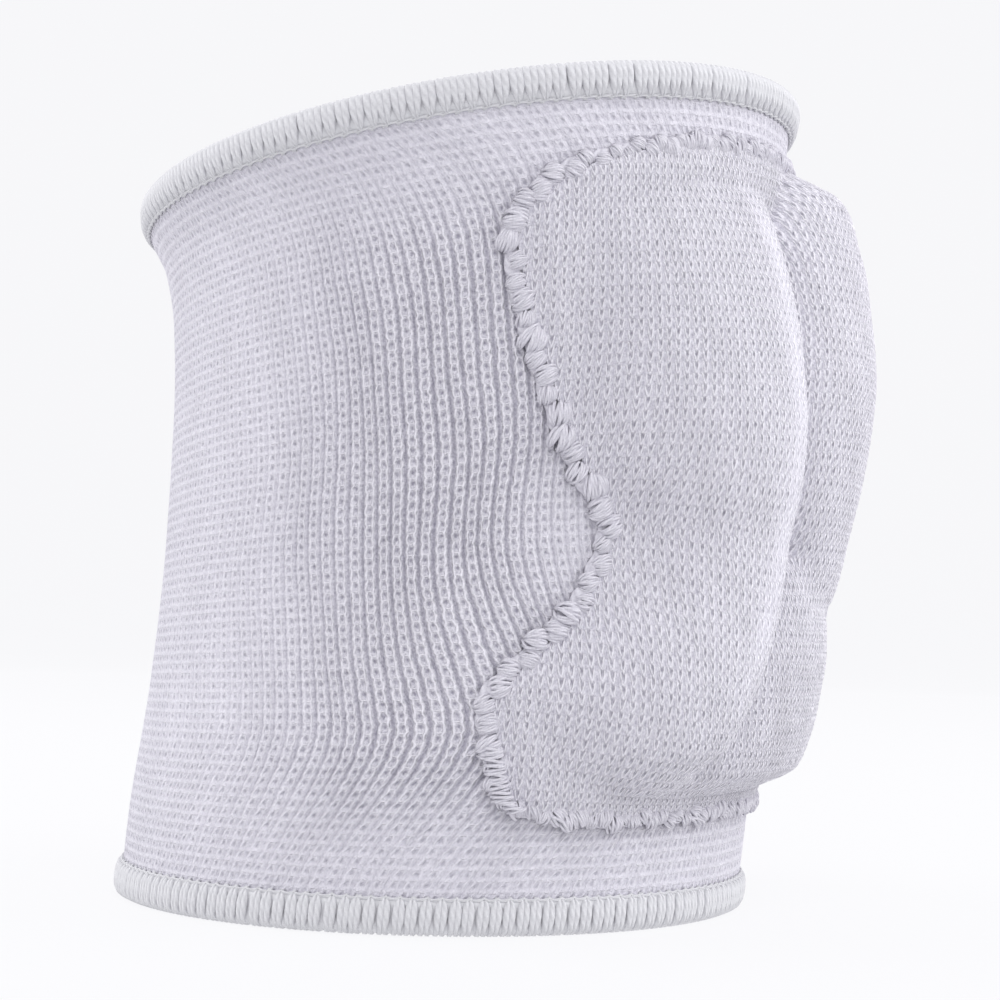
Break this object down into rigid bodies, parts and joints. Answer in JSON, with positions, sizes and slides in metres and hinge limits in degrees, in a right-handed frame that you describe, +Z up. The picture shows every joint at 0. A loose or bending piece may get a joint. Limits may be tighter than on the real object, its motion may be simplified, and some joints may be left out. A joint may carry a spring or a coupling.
{
  "type": "volleyball knee pad",
  "caption": "Slip-on knitted knee pad: a ribbed elastic tube with thread-bound rims and a sewn front pocket whose foam cushions guard the kneecap, shin and sides.",
  "frame": {"origin": "on the floor that the lower rim stands on, in the middle of the box that the whole pad fills", "axes": "+Z up along the leg, -Y towards the cushions at the front of the knee, +X towards the wearer's left"},
  "size_m": [0.131, 0.1472, 0.157],
  "materials": {
    "rib_knit": "white ribbed elastic knit, soft and matte",
    "cover_knit": "white fine stretch knit, soft and matte",
    "binding_thread": "white wrapped thread with a faint sheen",
    "seam_thread": "white bulky seam yarn, matte",
    "foam": "pale matte foam"
  },
  "bodies": {
    "root": {"sleeve": "rib_knit", "top_binding": "binding_thread", "bottom_binding": "binding_thread", "pad_cover": "cover_knit", "pocket_seam": "seam_thread", "kneecap_pad": "foam", "shin_pad": "foam", "side_pad_left": "foam", "side_pad_right": "foam"}
  },
  "joints": []
}
